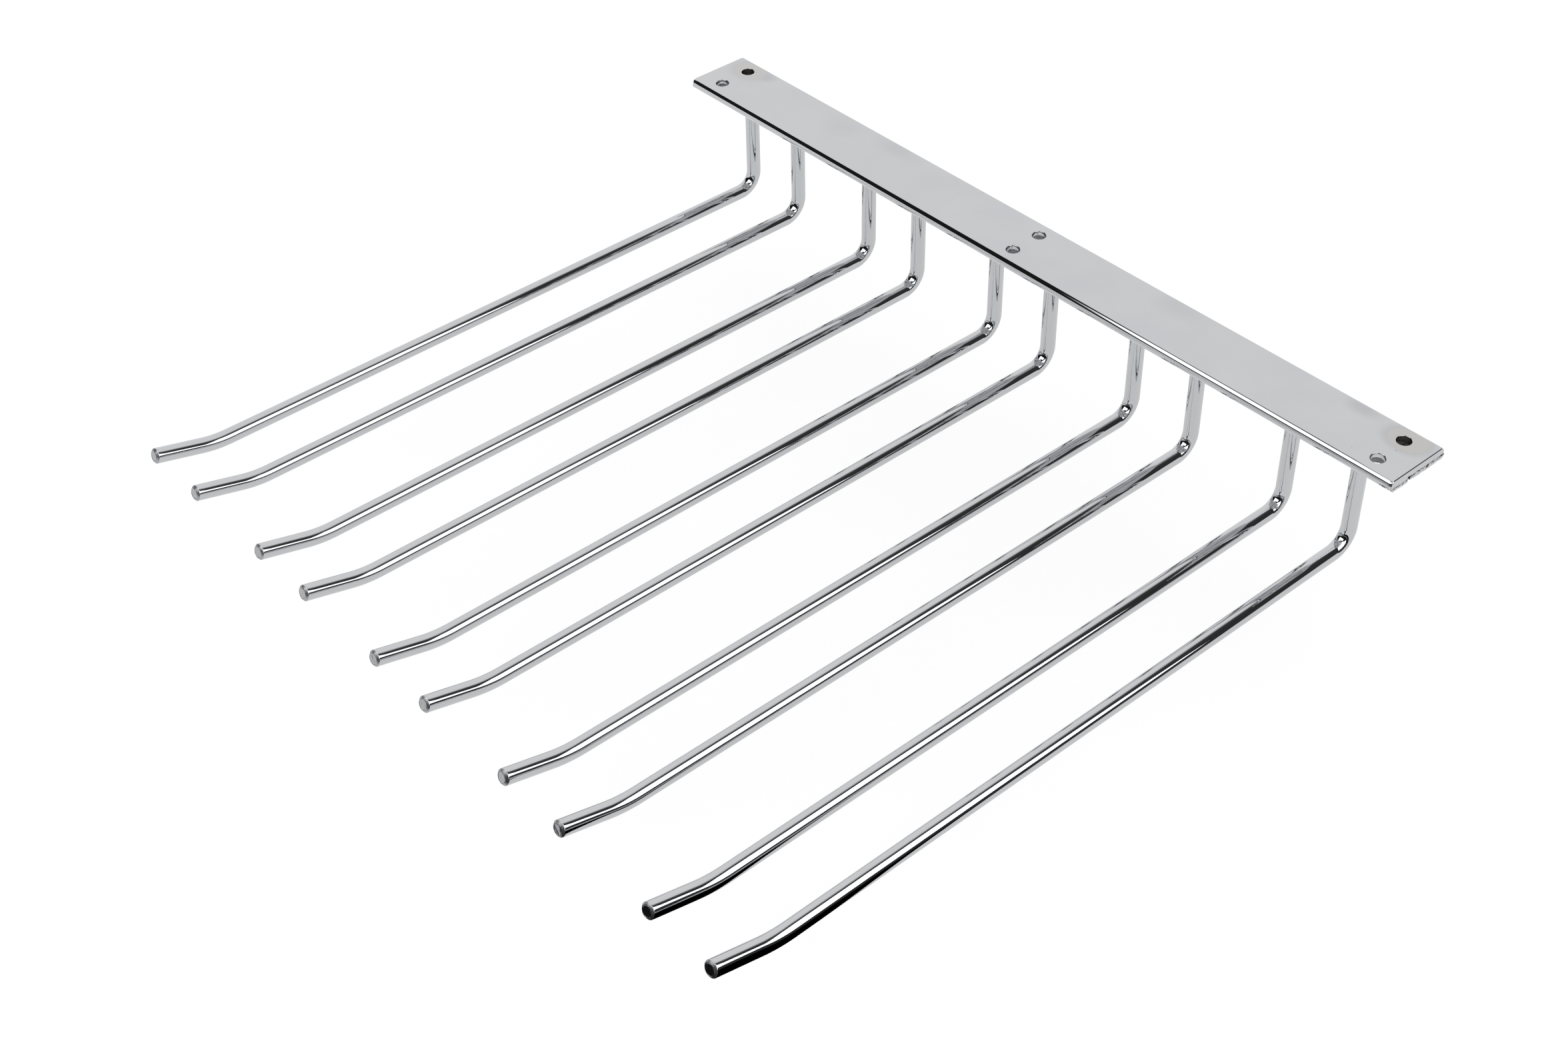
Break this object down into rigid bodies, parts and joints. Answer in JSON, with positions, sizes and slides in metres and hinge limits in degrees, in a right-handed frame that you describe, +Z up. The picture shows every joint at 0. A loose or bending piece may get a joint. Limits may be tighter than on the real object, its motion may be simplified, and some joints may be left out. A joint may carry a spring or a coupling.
{
  "type": "hanging wine glass rack",
  "caption": "Hanging stemware rack: a flat screw-on bar with pairs of bent round rods welded under it, all chrome plated, that hold upturned wine glasses by the foot.",
  "frame": {"origin": "centre of the bar's top face, which meets the underside of the shelf", "axes": "+X along the bar to the right as seen from the open rod tips, -Y along the rods towards their tips, +Z up into the shelf"},
  "size_m": [0.4, 0.3367, 0.0562],
  "materials": {
    "mounting_bar": "bright chrome plate over nickel on rolled steel flat, top face smooth",
    "rod_1_left": "bright chrome plate on drawn round steel bar, mirror smooth",
    "rod_1_right": "bright chrome plate on drawn round steel bar, mirror smooth",
    "rod_2_left": "bright chrome plate on drawn round steel bar, mirror smooth",
    "rod_2_right": "bright chrome plate on drawn round steel bar, mirror smooth",
    "rod_3_left": "bright chrome plate on drawn round steel bar, mirror smooth",
    "rod_3_right": "bright chrome plate on drawn round steel bar, mirror smooth",
    "rod_4_left": "bright chrome plate on drawn round steel bar, mirror smooth",
    "rod_4_right": "bright chrome plate on drawn round steel bar, mirror smooth",
    "rod_5_left": "bright chrome plate on drawn round steel bar, mirror smooth",
    "rod_5_right": "bright chrome plate on drawn round steel bar, mirror smooth",
    "weld_1_left": "chrome plate over a weld bead, slightly rough",
    "weld_1_right": "chrome plate over a weld bead, slightly rough",
    "weld_2_left": "chrome plate over a weld bead, slightly rough",
    "weld_2_right": "chrome plate over a weld bead, slightly rough",
    "weld_3_left": "chrome plate over a weld bead, slightly rough",
    "weld_3_right": "chrome plate over a weld bead, slightly rough",
    "weld_4_left": "chrome plate over a weld bead, slightly rough",
    "weld_4_right": "chrome plate over a weld bead, slightly rough",
    "weld_5_left": "chrome plate over a weld bead, slightly rough",
    "weld_5_right": "chrome plate over a weld bead, slightly rough"
  },
  "bodies": {
    "root": {"mounting_bar": "mounting_bar", "rod_1_left": "rod_1_left", "rod_1_right": "rod_1_right", "rod_2_left": "rod_2_left", "rod_2_right": "rod_2_right", "rod_3_left": "rod_3_left", "rod_3_right": "rod_3_right", "rod_4_left": "rod_4_left", "rod_4_right": "rod_4_right", "rod_5_left": "rod_5_left", "rod_5_right": "rod_5_right", "weld_1_left": "weld_1_left", "weld_1_right": "weld_1_right", "weld_2_left": "weld_2_left", "weld_2_right": "weld_2_right", "weld_3_left": "weld_3_left", "weld_3_right": "weld_3_right", "weld_4_left": "weld_4_left", "weld_4_right": "weld_4_right", "weld_5_left": "weld_5_left", "weld_5_right": "weld_5_right"}
  },
  "joints": []
}
